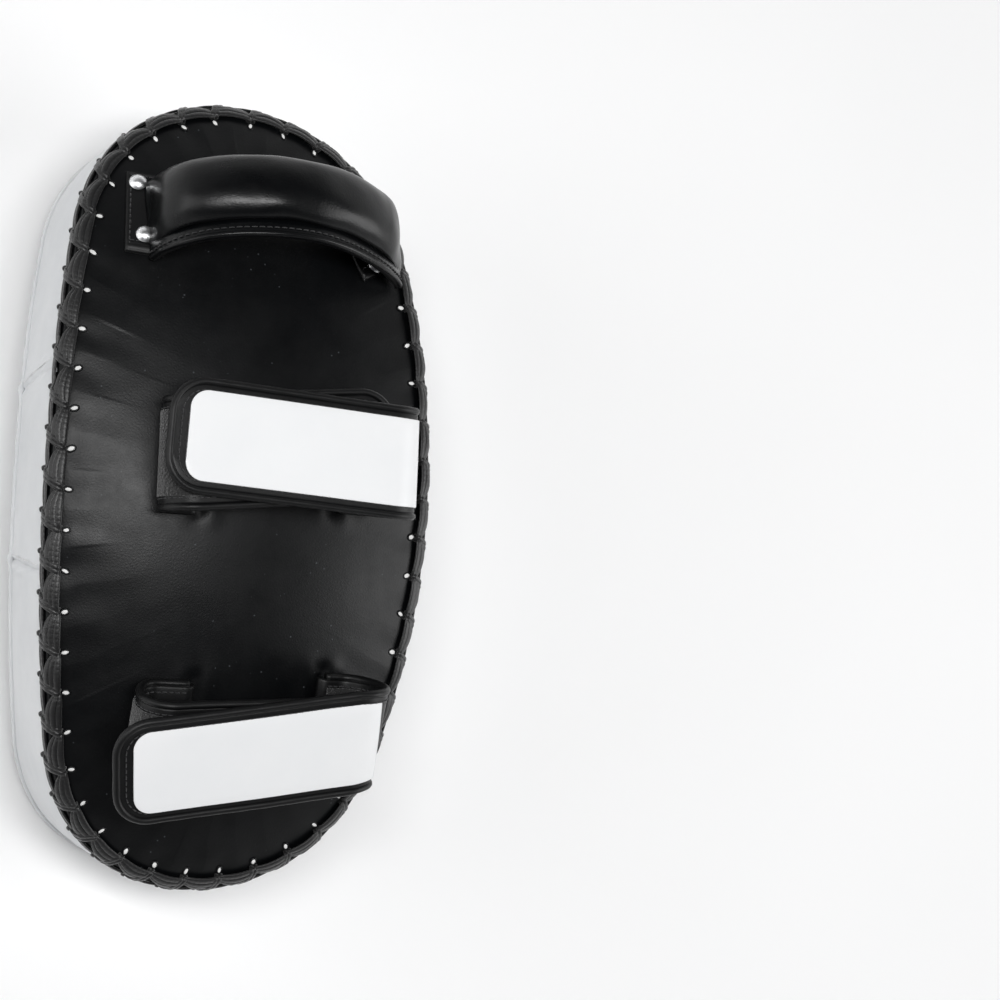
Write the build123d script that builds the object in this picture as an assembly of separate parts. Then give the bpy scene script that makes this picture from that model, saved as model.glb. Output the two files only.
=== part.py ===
from build123d import *
import os
from math import atan2, cos, degrees, hypot, radians, sin, sqrt, tan

# Curved kick-and-punch pad that a trainer wears on the forearm.
# Row frame: millimetres, +Z up. The pad lies on its concave strike face, straps and handle up.
# +Y runs towards the handle end. The origin is below the middle of the pad, on the floor.

os.makedirs("parts", exist_ok=True)

# ---------------------------------------------------------------- driving dimensions
HALF_WIDTH = 98.0           # outline at the laced edge's highest point, across
HALF_LENGTH = 199.0         # the same outline, along the pad
SIDE_RADIUS = 700.0         # its arcs, each tangent to the next
CORNER_RADIUS = 60.0
END_RADIUS = 88.0
WALL_TAPER = 4.0            # degrees by which the wall draws in towards the strike face
BEND_RADIUS = 500.0         # the pad bends on this circle about X
WALL_DEPTH = 86.0           # white side wall, measured through the bend
REST_HEIGHT = 130.6         # height over the floor of the laced edge's highest point
CROWN = 17.0                # bulge of the back panel over its laced edge
CROSS_RADIUS = 291.0        # the back panel's arc across the pad
CREST_RADIUS = 365.6        # its arc along the pad, at the middle

SKIN = 2.6                  # leather and backing of the covers
GAP = 0.5                   # air between neighbouring layers
SEAT = 0.05                 # air below a part that is sewn or riveted down
CUSHION = 4.8               # thin foam under the back panel
LINING = 0.8
BOARD = 2.8
CORE_INSET = 17.0           # the upper layers stop short of the lace's inner runs
CORE_STEP = 15.0            # depth below which the foam fills the whole wall
FOAM_JOINTS = (32.0, 58.0)  # depths of the joints between the three foam blocks
GORE_SEAMS = (-45.0, 59.0)  # arc positions of the seams between the wall's gores
PIPING = 1.8                # how far the front piping stands out
PIPING_HEIGHT = 3.4

LACE_STITCHES = 50
LACE_RADIUS = 1.4
LACE_HOLE_RADIUS = 1.8
PANEL_HOLE_INSET = 6.8      # lace holes in the back panel, from its outline
WALL_HOLE_DROP = 9.0        # lace holes in the wall, below the laced edge
LACE_INNER_RUN = 8.0        # the lace's run inside the wall, from the wall's face
LACE_PANEL_RUN = 6.4        # the same below the back panel's face

STRAP_SHEET = 3.0
STRAP_WIDTH = 50.6          # strap sheet between its bindings
BINDING_RADIUS = 2.1
STRAP_CORNER = 15.0
LEG_RISE = 2.1              # middle of a strap where it lies on the back panel
UNDER_RISE = 28.5           # middle of the under strap over the back panel
FLAP_RISE = 33.7            # middle of the flap, which rests on the under strap
TAPE = 1.0                  # hook tape and loop tape
TAPE_WIDTH = 42.0
PATCH = 0.8
PATCH_WIDTH = 43.6
SLOT_WIDTH = 5.0
TURN_RADIUS = 3.5           # a strap's turn where it leaves its slot

# A strap's places across the pad, from its slots to its free ends, and its own skew.
UPPER_STRAP = {
    "name": "upper", "middle": 18.0, "lean": 0.0, "left_slot": -28.0, "right_slot": 43.3,
    "left_fold": -38.0, "right_fold": 59.4, "left_offset": -2.9, "right_offset": 2.9,
    "under_tip": 62.0, "under_skew": 6.6, "flap_tip": -56.4, "flap_skew": 0.0,
}
LOWER_STRAP = {
    "name": "lower", "middle": -115.0, "lean": 4.0, "left_slot": -21.4, "right_slot": 46.0,
    "left_fold": -39.1, "right_fold": 55.1, "left_offset": -3.7, "right_offset": 3.2,
    "under_tip": 50.0, "under_skew": 4.4, "flap_tip": -65.3, "flap_skew": 6.1,
}

HANDLE_X = 9.0
HANDLE_Y = 135.4
TAB_WIDTH = 19.0            # handle tabs
TAB_SHEET = 2.6
LEFT_TAB = (-54.2, 135.0, -4.8, 40.0)       # middle, turn in degrees, length
RIGHT_TAB = (62.0, 133.0, 24.0, 34.0)
LEFT_RIVETS = (-56.0, 137.2, 3.2, 27.0)     # middle, turn of their line in degrees, spacing
RIGHT_RIVETS = (63.0, 132.5, 24.0, 23.0)
RIVET_CAP_RADIUS = 4.5
RIVET_CAP_HEIGHT = 2.4
RIVET_RADIUS = 1.6
RIVET_HOLE_RADIUS = 1.8
RIVET_TAIL_RADIUS = 2.8
WASHER_RADIUS = 6.0
WASHER = 1.2
TAB_AIR = 0.1               # between a tab and the back panel
TAB_CORNER = 2.5
RIVET_ROOM = 0.6            # clearance of the grip's ends round the rivet caps
ARCH_RADIUS = 66.0          # middle line of the grip
ARCH_RISE = 40.0
GRIP_LENGTH = 33.0          # padded grip, along Y
GRIP_DEPTH = 23.0           # padded grip, along the pad's normal
GRIP_END_DEPTH = 7.0
GRIP_END_WIDENING = 2.0     # the grip's ends spread along Y by this much
GRIP_SKIN = 1.8
GRIP_TURN = 70.0            # half of the grip's arch, in degrees
FLANGE = 8.0                # sewn edge below the grip
FLANGE_SHEET = 3.6


UNDER_BOARD = SKIN + CUSHION + LINING + BOARD + 3.0 * GAP
WASHER_AIR = 0.45           # flat parts on the curved board and tabs clear it by this much
CAP_AIR = 0.45


# ---------------------------------------------------------------- the pad's shape
def arc_centres():
    """Centres of the outline's side, end and corner arcs in its first quarter."""
    side = (HALF_WIDTH - SIDE_RADIUS, 0.0)
    end = (0.0, HALF_LENGTH - END_RADIUS)
    side_reach = SIDE_RADIUS - CORNER_RADIUS
    end_reach = END_RADIUS - CORNER_RADIUS
    apart = hypot(end[0] - side[0], end[1] - side[1])
    share = (side_reach ** 2 - end_reach ** 2 + apart ** 2) / (2.0 * apart)
    rise = sqrt(side_reach ** 2 - share ** 2)
    unit = ((end[0] - side[0]) / apart, (end[1] - side[1]) / apart)
    corner = (side[0] + share * unit[0] - rise * unit[1], side[1] + share * unit[1] + rise * unit[0])
    return side, end, corner


SIDE_CENTRE, END_CENTRE, CORNER_CENTRE = arc_centres()


def outline_wire(grow=0.0):
    """The pad's outline at the laced edge's highest point: two sides, two ends, four corners."""
    side_angle = degrees(atan2(CORNER_CENTRE[1], CORNER_CENTRE[0] - SIDE_CENTRE[0]))
    end_angle = degrees(atan2(CORNER_CENTRE[1] - END_CENTRE[1], CORNER_CENTRE[0]))
    corner_x, corner_y = CORNER_CENTRE
    corner = CORNER_RADIUS + grow
    side = SIDE_RADIUS + grow
    end = END_RADIUS + grow
    edges = [
        CenterArc((SIDE_CENTRE[0], 0), side, -side_angle, 2.0 * side_angle),
        CenterArc((corner_x, corner_y), corner, side_angle, end_angle - side_angle),
        CenterArc((0, END_CENTRE[1]), end, end_angle, 2.0 * (90.0 - end_angle)),
        CenterArc((-corner_x, corner_y), corner, 180.0 - end_angle, end_angle - side_angle),
        CenterArc((-SIDE_CENTRE[0], 0), side, 180.0 - side_angle, 2.0 * side_angle),
        CenterArc((-corner_x, -corner_y), corner, 180.0 + side_angle, end_angle - side_angle),
        CenterArc((0, -END_CENTRE[1]), end, 180.0 + end_angle, 2.0 * (90.0 - end_angle)),
        CenterArc((corner_x, -corner_y), corner, -end_angle, end_angle - side_angle),
    ]
    return Wire([edge.edge() for edge in edges])


def column(grow=0.0):
    """The pad's outline as a tall column that narrows down to the floor."""
    sections = []
    for height in (0.0, REST_HEIGHT + 40.0):
        widen = (height - REST_HEIGHT) * tan(radians(WALL_TAPER))
        sections.append(outline_wire(grow + widen).moved(Location((0, 0, height))))
    return Solid.make_loft(sections, ruled=True)


def back_height(x, y):
    """Height of the back panel's outer face, bent along the pad and crowned across it."""
    reach = CREST_RADIUS - CROSS_RADIUS + sqrt(CROSS_RADIUS ** 2 - x * x)
    return sqrt(reach * reach - y * y) + REST_HEIGHT + CROWN - CREST_RADIUS


def back_layer(top, thickness):
    """A sheet that follows the back panel, from top below its outer face."""
    centre = CREST_RADIUS - CROSS_RADIUS
    half = 110.0
    arcs = []
    for radius in (CROSS_RADIUS - top, CROSS_RADIUS - top - thickness):
        shoulder = sqrt(radius * radius - half * half) + centre
        crest = centre + radius
        arcs.append(((-half, 0, shoulder), (0, 0, crest), (half, 0, shoulder)))
    outer = ThreePointArc(*arcs[0])
    inner = ThreePointArc(*arcs[1])
    sides = [Line(arcs[0][2], arcs[1][2]), Line(arcs[1][0], arcs[0][0])]
    profile = make_face([outer, sides[0], inner, sides[1]])
    profile = profile.rotate(Axis.X, -42.0)
    sheet = revolve(profile, axis=Axis.X, revolution_arc=84.0)
    return sheet.moved(Location((0, 0, REST_HEIGHT + CROWN - CREST_RADIUS)))


def bent_block(shallow, deep):
    """Everything between two depths of the bend, wider than the pad."""
    outer = Cylinder(BEND_RADIUS - shallow, 260.0, rotation=(0, 90, 0))
    inner = Cylinder(BEND_RADIUS - deep, 280.0, rotation=(0, 90, 0))
    upper_half = Box(280.0, 560.0, 500.0).moved(Location((0, 0, REST_HEIGHT)))
    ring = (outer - inner).moved(Location((0, 0, REST_HEIGHT - BEND_RADIUS)))
    return ring & upper_half


OUTER_COLUMN = column()
WALL_INNER_COLUMN = column(-SKIN)
FILL_COLUMN = column(-SKIN - GAP)
CORE_COLUMN = column(-CORE_INSET)


def radial_wedge(first_arc, last_arc):
    """The part of the bend between two arc positions."""
    axis_height = REST_HEIGHT - BEND_RADIUS
    reach = 900.0
    corners = [(0.0, 0.0, axis_height)]
    for arc in (first_arc, last_arc):
        angle = arc / BEND_RADIUS
        corners.append((0.0, reach * sin(angle), axis_height + reach * cos(angle)))
    profile = make_face(Polyline(*corners, close=True))
    return extrude(profile, amount=200.0, dir=(1, 0, 0), both=True)


def surface_plane(x, y, follow_x=True, lean=0.0):
    """Plane on the back panel: z along its normal, x across the pad, leaned about x."""
    step = 0.5
    slope_x = (back_height(x + step, y) - back_height(x - step, y)) / (2.0 * step) if follow_x else 0.0
    slope_y = (back_height(x, y + step) - back_height(x, y - step)) / (2.0 * step)
    normal = Vector(-slope_x, -slope_y, 1.0).normalized()
    across = (Vector(1, 0, 0) - normal * normal.X).normalized()
    plane = Plane(origin=(x, y, back_height(x, y)), x_dir=across, z_dir=normal)
    return plane.rotated((lean, 0, 0))


def placed(shape, plane):
    return shape.moved(plane.location)


def block(first, second):
    """A box between two opposite corners."""
    size = [abs(second[axis] - first[axis]) for axis in range(3)]
    middle = [(first[axis] + second[axis]) / 2.0 for axis in range(3)]
    return Box(*size).moved(Location(middle))


def export(name, *solids):
    shape = solids[0] if len(solids) == 1 else Compound(children=list(solids))
    export_step(shape, "parts/" + name + ".step")


# ---------------------------------------------------------------- edge lace
OUTLINE = outline_wire()


def rim_point(share, outward, rise, ahead=0.0):
    """A point near the laced edge: outward from it, above it, and ahead along it."""
    place = OUTLINE @ (share % 1.0)
    along = OUTLINE % (share % 1.0)
    out = Vector(along.Y, -along.X, 0.0)
    if out.dot(place) < 0.0:
        out = out * -1.0
    inset = 0.0
    for _ in range(4):
        rim = place - out * inset
        height = back_height(rim.X, rim.Y)
        inset = (REST_HEIGHT - height) * tan(radians(WALL_TAPER))
    point = rim + out * outward + along * ahead
    return Vector(point.X, point.Y, height + rise)


def panel_hole(share, rise):
    """A point over a lace hole of the back panel, this far above the panel's face."""
    point = rim_point(share, -PANEL_HOLE_INSET, 0.0)
    return Vector(point.X, point.Y, back_height(point.X, point.Y) + rise)


def hole_shares(number):
    """Places along the outline of a stitch's wall hole and of its panel hole."""
    return (number + 0.25) / LACE_STITCHES, (number + 0.75) / LACE_STITCHES


def lace_corners(number):
    """Corners of one stitch, from inside its wall hole out, over the edge and back inside."""
    wall, panel = hole_shares(number)
    outside = LACE_RADIUS + 0.8
    return [
        rim_point(wall, -LACE_INNER_RUN, -WALL_HOLE_DROP),
        rim_point(wall, outside, -WALL_HOLE_DROP),
        rim_point(wall, outside, 3.6, ahead=4.0),
        panel_hole(panel, 3.4),
        panel_hole(panel, -LACE_PANEL_RUN),
    ]


def lace_stitch(number):
    before = lace_corners(number - 1)
    corners = lace_corners(number)
    after = lace_corners(number + 1)
    start = (before[-1] + corners[0]) * 0.5
    end = (corners[-1] + after[0]) * 0.5
    radii = [2.2, 2.2, 2.6, 1.9, 2.2]
    path = FilletPolyline(start, *corners, end, radius=radii)
    section = Plane(origin=path @ 0, z_dir=path % 0) * Circle(LACE_RADIUS)
    return sweep(section, path=path)


def lace_hole_tools():
    panel_tools = []
    wall_tools = []
    for number in range(LACE_STITCHES):
        wall, panel = hole_shares(number)
        panel_tools.append(Cylinder(LACE_HOLE_RADIUS, 14.0).moved(Location(panel_hole(panel, 0.0))))
        middle = rim_point(wall, 0.0, -WALL_HOLE_DROP)
        outward = rim_point(wall, 1.0, -WALL_HOLE_DROP) - middle
        wall_tools.append(placed(Cylinder(LACE_HOLE_RADIUS, 12.0), Plane(origin=middle, z_dir=outward)))
    return panel_tools, wall_tools


# ---------------------------------------------------------------- forearm straps
def half_ring(radius, side):
    """Half of a strap's fold, open towards the pad's middle; side is -1 left, 1 right."""
    half = STRAP_SHEET / 2.0
    ring = Cylinder(radius + half, STRAP_WIDTH, rotation=(90, 0, 0))
    ring -= Cylinder(radius - half, STRAP_WIDTH + 2.0, rotation=(90, 0, 0))
    reach = radius + half + 1.0
    return ring & block((0.0, -STRAP_WIDTH, -reach), (side * reach, STRAP_WIDTH, reach))


def strap_leg(slot, fold, side):
    """Up through the slot, round a small turn and out along the back panel to the fold."""
    half = STRAP_SHEET / 2.0
    width = STRAP_WIDTH / 2.0
    centre = (slot + side * TURN_RADIUS, LEG_RISE - TURN_RADIUS)
    turn = Cylinder(TURN_RADIUS + half, 2 * width, rotation=(90, 0, 0))
    turn -= Cylinder(TURN_RADIUS - half, 2 * width + 2.0, rotation=(90, 0, 0))
    reach = TURN_RADIUS + half
    quarter = block((0.0, -width, 0.0), (-side * reach, width, reach))
    turn = (turn & quarter).moved(Location((centre[0], 0, centre[1])))
    riser = block((slot - half, -width, -5.0), (slot + half, width, centre[1]))
    left = min(centre[0], fold)
    right = max(centre[0], fold)
    flat = block((left, -width, LEG_RISE - half), (right, width, LEG_RISE + half))
    return riser + turn + flat


def strap_sheet(low_x, high_x, tip_side, width, rise, thickness):
    """A flat sheet whose end at tip_side has round corners."""
    length = high_x - low_x
    sheet = Box(length, width, thickness).moved(Location(((low_x + high_x) / 2.0, 0, rise)))
    tip = high_x if tip_side > 0 else low_x
    corners = [edge for edge in sheet.edges().filter_by(Axis.Z) if abs(edge.center().X - tip) < 0.1]
    return fillet(corners, min(STRAP_CORNER, width / 2.0 - 1.0) - (STRAP_WIDTH - width) / 2.0)


def strap_binding(low_x, high_x, tip_side, rise):
    """The rolled edge round a sheet's two long sides and its round tip."""
    outset = BINDING_RADIUS + SEAT
    side = STRAP_WIDTH / 2.0 + outset
    tip = (high_x if tip_side > 0 else low_x) + tip_side * outset
    root = low_x if tip_side > 0 else high_x
    corners = [(root, side, rise), (tip, side, rise), (tip, -side, rise), (root, -side, rise)]
    path = FilletPolyline(*corners, radius=STRAP_CORNER + outset)
    section = Plane(origin=path @ 0, z_dir=path % 0) * Circle(BINDING_RADIUS)
    return sweep(section, path=path)


def strap_parts(strap):
    """Every piece of one forearm strap, in the row frame, and the tools that make room for it."""
    name = strap["name"]
    plane = surface_plane(0.0, strap["middle"], follow_x=False, lean=strap["lean"])
    left_radius = (UNDER_RISE - LEG_RISE) / 2.0
    right_radius = (FLAP_RISE - LEG_RISE) / 2.0
    left = Location((0, strap["left_offset"], 0))
    right = Location((0, strap["right_offset"], 0))
    left_fold = strap["left_fold"]
    right_fold = strap["right_fold"]
    under_turn = Location((left_fold, strap["left_offset"], 0), (0, 0, strap["under_skew"]))
    flap_turn = Location((right_fold, strap["right_offset"], 0), (0, 0, strap["flap_skew"]))
    under_length = strap["under_tip"] - left_fold - BINDING_RADIUS
    flap_length = right_fold - strap["flap_tip"] - BINDING_RADIUS * 2.0

    left_ring = half_ring(left_radius, -1).moved(Location((left_fold, 0, LEG_RISE + left_radius)))
    under = strap_sheet(-3.0, under_length, 1, STRAP_WIDTH, UNDER_RISE, STRAP_SHEET)
    base = (strap_leg(strap["left_slot"], left_fold, -1) + left_ring).moved(left)
    base += under.moved(under_turn)
    base += strap_leg(strap["right_slot"], right_fold, 1).moved(right)
    base = placed(base, plane)
    slots_middle = (strap["left_slot"] + strap["right_slot"]) / 2.0
    run_length = strap["right_slot"] - strap["left_slot"] + STRAP_SHEET
    run_region = placed(Box(run_length, STRAP_WIDTH, 60.0).moved(Location((slots_middle, 0, 0))), plane)
    base += back_layer(SKIN + 2.0 * GAP, STRAP_SHEET) & run_region

    fold = half_ring(right_radius, 1).moved(Location((right_fold, 0, LEG_RISE + right_radius))).moved(right)
    fold_room = block((right_fold - GAP, -60.0, 0.0), (right_fold + 60.0, 60.0, 60.0))
    root = 4.0
    flap = strap_sheet(-flap_length, root, -1, STRAP_WIDTH, FLAP_RISE, STRAP_SHEET).moved(flap_turn)
    flap -= fold_room
    flap_binding = strap_binding(-flap_length, root, -1, FLAP_RISE).moved(flap_turn) - fold_room
    under_binding = strap_binding(4.0, under_length, 1, UNDER_RISE).moved(under_turn)
    half = STRAP_SHEET / 2.0
    patch_rise = FLAP_RISE + half + SEAT + PATCH / 2.0
    patch = strap_sheet(-flap_length + 7.0, root, -1, PATCH_WIDTH, patch_rise, PATCH).moved(flap_turn)
    patch -= fold_room
    loop_rise = UNDER_RISE + half + SEAT + TAPE / 2.0
    loop_tape = strap_sheet(6.0, under_length - 5.0, 1, TAPE_WIDTH, loop_rise, TAPE).moved(under_turn)
    hook_rise = FLAP_RISE - half - SEAT - TAPE / 2.0
    hook_tape = strap_sheet(-flap_length + 5.0, -34.0, -1, TAPE_WIDTH, hook_rise, TAPE).moved(flap_turn)

    export(name + "_strap", base)
    for suffix, shape in (
        ("fold", fold), ("flap", flap), ("flap_binding", flap_binding), ("strap_binding", under_binding),
        ("flap_patch", patch), ("loop_tape", loop_tape), ("hook_tape", hook_tape),
    ):
        export(name + "_" + suffix, placed(shape, plane))

    slot_tools = []
    for slot, side in ((strap["left_slot"], left), (strap["right_slot"], right)):
        cut = Box(SLOT_WIDTH, STRAP_WIDTH + 3.0, 16.0).moved(Location((slot, 0, 0))).moved(side)
        slot_tools.append(placed(cut, plane))
    window = Box(run_length + 9.0, STRAP_WIDTH + 12.0, 60.0).moved(Location((slots_middle, 0, 0)))
    return slot_tools, placed(window, plane)


# ---------------------------------------------------------------- handle
def rivet_planes(pair):
    x, y, turn, spacing = pair
    planes = []
    for offset in (-spacing / 2.0, spacing / 2.0):
        planes.append(surface_plane(x - offset * sin(radians(turn)), y + offset * cos(radians(turn))))
    return planes


def rivet(plane):
    """A round-headed rivet through the tab, the back panel, the board and a washer."""
    base = TAB_SHEET + CAP_AIR
    cap_sphere = (RIVET_CAP_RADIUS ** 2 + RIVET_CAP_HEIGHT ** 2) / (2.0 * RIVET_CAP_HEIGHT)
    cap = Sphere(cap_sphere).moved(Location((0, 0, base + RIVET_CAP_HEIGHT - cap_sphere)))
    cap &= block((-9.0, -9.0, base), (9.0, 9.0, base + 9.0))
    depth = UNDER_BOARD + WASHER_AIR + WASHER + SEAT
    shank = Cylinder(RIVET_RADIUS, base + depth).moved(Location((0, 0, (base - depth) / 2.0)))
    tail = Cylinder(RIVET_TAIL_RADIUS, 1.0).moved(Location((0, 0, -depth - 0.5)))
    return placed(cap + shank + tail, plane)


def washer(plane):
    ring = Cylinder(WASHER_RADIUS, WASHER) - Cylinder(RIVET_HOLE_RADIUS, WASHER + 2.0)
    return placed(ring.moved(Location((0, 0, -UNDER_BOARD - WASHER_AIR - WASHER / 2.0))), plane)


def tab(place):
    x, y, turn, length = place
    region = Box(TAB_WIDTH, length, 80.0)
    region = fillet(region.edges().filter_by(Axis.Z), TAB_CORNER)
    region = region.moved(Location((x, y, back_height(x, y)), (0, 0, turn)))
    return back_layer(-TAB_SHEET - TAB_AIR, TAB_SHEET) & region


def grip_section(turn, inset):
    """An oval across the grip, turned about the arch's centre."""
    share = abs(turn) / GRIP_TURN
    depth = GRIP_DEPTH - (GRIP_DEPTH - GRIP_END_DEPTH) * share ** 2.2
    length = GRIP_LENGTH + GRIP_END_WIDENING * share ** 2
    angle = radians(turn)
    direction = Vector(sin(angle), 0, cos(angle))
    centre = direction * ARCH_RADIUS + Vector(0, 0, ARCH_RISE - ARCH_RADIUS)
    plane = Plane(origin=centre, x_dir=(0, 1, 0), z_dir=(cos(angle), 0, -sin(angle)))
    return Wire([(plane * Ellipse(length / 2.0 - inset, depth / 2.0 - inset)).edge()])


def grip_body(inset):
    turns = [GRIP_TURN * share for share in (-1.0, -0.6, 0.0, 0.6, 1.0)]
    return Solid.make_loft([grip_section(turn, inset) for turn in turns])


def grip_flange():
    half = FLANGE_SHEET / 2.0
    ring = Cylinder(ARCH_RADIUS + half, FLANGE + 4.0, rotation=(90, 0, 0))
    ring -= Cylinder(ARCH_RADIUS - half, FLANGE + 8.0, rotation=(90, 0, 0))
    keep = block((-62.0, -20.0, 26.0), (62.0, 20.0, 90.0))
    low_side = -GRIP_LENGTH / 2.0 - FLANGE / 2.0 + 2.0
    return (ring & keep).moved(Location((0, low_side, ARCH_RISE - ARCH_RADIUS)))


# ---------------------------------------------------------------- build
strap_slots = []
strap_windows = []
for strap in (UPPER_STRAP, LOWER_STRAP):
    slots, window = strap_parts(strap)
    strap_slots += slots
    strap_windows.append(window)

left_rivets = rivet_planes(LEFT_RIVETS)
right_rivets = rivet_planes(RIGHT_RIVETS)
rivet_holes = [placed(Cylinder(RIVET_HOLE_RADIUS, 60.0), plane) for plane in left_rivets + right_rivets]
washer_rooms = [placed(Cylinder(WASHER_RADIUS + 1.0, 40.0), plane) for plane in left_rivets + right_rivets]
cap_top = TAB_SHEET + CAP_AIR + RIVET_CAP_HEIGHT + RIVET_ROOM
cap_room = Cylinder(RIVET_CAP_RADIUS + RIVET_ROOM, 2.0 * cap_top)
cap_rooms = [placed(cap_room, plane) for plane in left_rivets + right_rivets]

handle_plane = surface_plane(HANDLE_X, HANDLE_Y, follow_x=False)
up_to_tabs = back_layer(-TAB_SHEET - TAB_AIR - 0.15, 90.0)
up_to_core = back_layer(-TAB_SHEET - TAB_AIR - GRIP_SKIN - GAP, 90.0)
cover = placed((grip_body(0.0) + grip_flange()) - grip_body(GRIP_SKIN), handle_plane)
cover = cover - up_to_tabs - cap_rooms
core = placed(grip_body(GRIP_SKIN + GAP), handle_plane) - up_to_core - cap_rooms
export("handle_cover", cover)
export("handle_core", core)
for side, place, planes in (("left", LEFT_TAB, left_rivets), ("right", RIGHT_TAB, right_rivets)):
    export("handle_tab_" + side, tab(place) - rivet_holes)
    export("handle_rivets_" + side, *[rivet(plane) for plane in planes])
    export("handle_washers_" + side, *[washer(plane) for plane in planes])

panel_tools, wall_tools = lace_hole_tools()
panel = (back_layer(0.0, SKIN) & OUTER_COLUMN) - strap_slots - rivet_holes - panel_tools
export("back_panel", panel)

below = SKIN + GAP
export("back_cushion", (back_layer(below, CUSHION) & CORE_COLUMN) - strap_windows - rivet_holes)
below += CUSHION + GAP
export("back_lining", (back_layer(below, LINING) & CORE_COLUMN) - rivet_holes)
below += LINING + GAP
export("backing_board", (back_layer(below, BOARD) & CORE_COLUMN) - rivet_holes)
below += BOARD + GAP

upper_fill = back_layer(below, 60.0) & CORE_COLUMN & bent_block(-CROWN, CORE_STEP + 1.0)
lower_fill = FILL_COLUMN & bent_block(CORE_STEP, FOAM_JOINTS[0] - GAP)
foam_back = (upper_fill + lower_fill) - washer_rooms
export("foam_back", foam_back)
export("foam_middle", FILL_COLUMN & bent_block(FOAM_JOINTS[0], FOAM_JOINTS[1] - GAP))
export("foam_strike", FILL_COLUMN & bent_block(FOAM_JOINTS[1], WALL_DEPTH - SKIN - GAP))

wall_room = bent_block(-CROWN, WALL_DEPTH - SKIN - GAP) & back_layer(SKIN + GAP, 150.0)
wall = ((OUTER_COLUMN - WALL_INNER_COLUMN) & wall_room) - wall_tools
end_arc = 320.0
seam = GAP / 2.0
export("wall_lower", wall & radial_wedge(-end_arc, GORE_SEAMS[0] - seam))
export("wall_middle", wall & radial_wedge(GORE_SEAMS[0] + seam, GORE_SEAMS[1] - seam))
export("wall_upper", wall & radial_wedge(GORE_SEAMS[1] + seam, end_arc))

export("strike_face", OUTER_COLUMN & bent_block(WALL_DEPTH - SKIN, WALL_DEPTH))
piping_top = WALL_DEPTH - SKIN - PIPING_HEIGHT - 1.6
piping_ring = column(PIPING) - column(0.1)
export("front_piping", piping_ring & bent_block(piping_top, piping_top + PIPING_HEIGHT))

half_lace = [lace_stitch(number) for number in range(LACE_STITCHES // 2)]
other_half = [stitch.moved(Location((0, 0, 0), (0, 0, 180))) for stitch in half_lace]
export("edge_lace", *half_lace, *other_half)
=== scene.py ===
import math

import bpy
import numpy as np
from mathutils import Euler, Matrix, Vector


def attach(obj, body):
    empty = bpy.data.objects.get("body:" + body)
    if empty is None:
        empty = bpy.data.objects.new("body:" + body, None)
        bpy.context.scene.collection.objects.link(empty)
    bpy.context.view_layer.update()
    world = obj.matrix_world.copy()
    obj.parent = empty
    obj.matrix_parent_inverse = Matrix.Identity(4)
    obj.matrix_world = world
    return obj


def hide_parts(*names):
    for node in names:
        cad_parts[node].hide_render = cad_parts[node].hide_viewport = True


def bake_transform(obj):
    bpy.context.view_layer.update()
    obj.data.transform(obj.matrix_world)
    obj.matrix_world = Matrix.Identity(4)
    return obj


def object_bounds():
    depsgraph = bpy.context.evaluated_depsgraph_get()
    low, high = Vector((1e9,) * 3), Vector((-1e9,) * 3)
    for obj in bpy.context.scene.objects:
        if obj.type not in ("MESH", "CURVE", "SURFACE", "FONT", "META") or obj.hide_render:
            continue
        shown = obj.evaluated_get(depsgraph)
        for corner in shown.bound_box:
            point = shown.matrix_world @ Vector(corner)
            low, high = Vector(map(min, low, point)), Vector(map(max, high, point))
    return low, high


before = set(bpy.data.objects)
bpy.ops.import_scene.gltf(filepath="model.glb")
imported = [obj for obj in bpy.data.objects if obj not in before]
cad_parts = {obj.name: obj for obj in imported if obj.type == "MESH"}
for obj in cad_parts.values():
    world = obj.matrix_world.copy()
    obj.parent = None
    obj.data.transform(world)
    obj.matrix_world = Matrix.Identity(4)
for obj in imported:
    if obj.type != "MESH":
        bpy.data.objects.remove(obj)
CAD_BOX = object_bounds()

MM = 0.001
RNG = np.random.default_rng(11)

# -------------------------------- the pad's shape, in mm, as in the CAD
SIDE_RADIUS = 700.0                  # the outline's arcs: long sides, corners and ends
CORNER_RADIUS = 60.0
END_RADIUS = 88.0
HALF_WIDTH = 98.0
HALF_LENGTH = 199.0
TAPER = math.tan(math.radians(4.0))  # the wall draws in towards the strike side
BEND = 500.0                         # radius of the pad's lengthwise bend, at the height REST
DEPTH = 86.0                         # of the wall
REST = 130.6
CROWN = 17.0                         # rise of the back above REST at the middle
CROSS = 291.0                        # radii of the back, across and along
CREST = 365.6
STITCHES = 50
PANEL_INSET = 6.8                    # lace holes from the edge, on the back and on the wall
WALL_DROP = 9.0
PANEL_HOLE = 0.75                    # place of each hole along its stitch: back panel, and wall
WALL_HOLE = 0.25
SEAMS = (-45.0, 59.0)                # the wall's gore seams, along its length
FULLER = 2.4                         # how far the leather stands past the CAD outline: right side,
FULLER_CORNERS = 0.9                 # upper corners and both ends
LONGER = 3.0
PIPING_RISE = 2.2                    # the piping's middle above the wall's lower edge
WALL_START = 0.8                     # top of the white wall, below the laced edge
WALL_BULGE = 1.5
SEAM_TO_STITCHES = 3.0
TURN_UNDER = 1.4                     # how far the wall and the strike face turn in at the piping
ROUND_OFF = 1.6                      # how much the stuffed edge is rounded
ROUND_REACH = 3.0


def unit(v):
    return v / np.maximum(np.linalg.norm(v, axis=-1, keepdims=True), 1e-9)


def smooth(t):
    t = np.clip(t, 0.0, 1.0)
    return t * t * (3.0 - 2.0 * t)


def back_height(x, y):
    reach = CREST - CROSS + np.sqrt(CROSS ** 2 - x * x)
    return np.sqrt(reach * reach - y * y) + REST + CROWN - CREST


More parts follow.
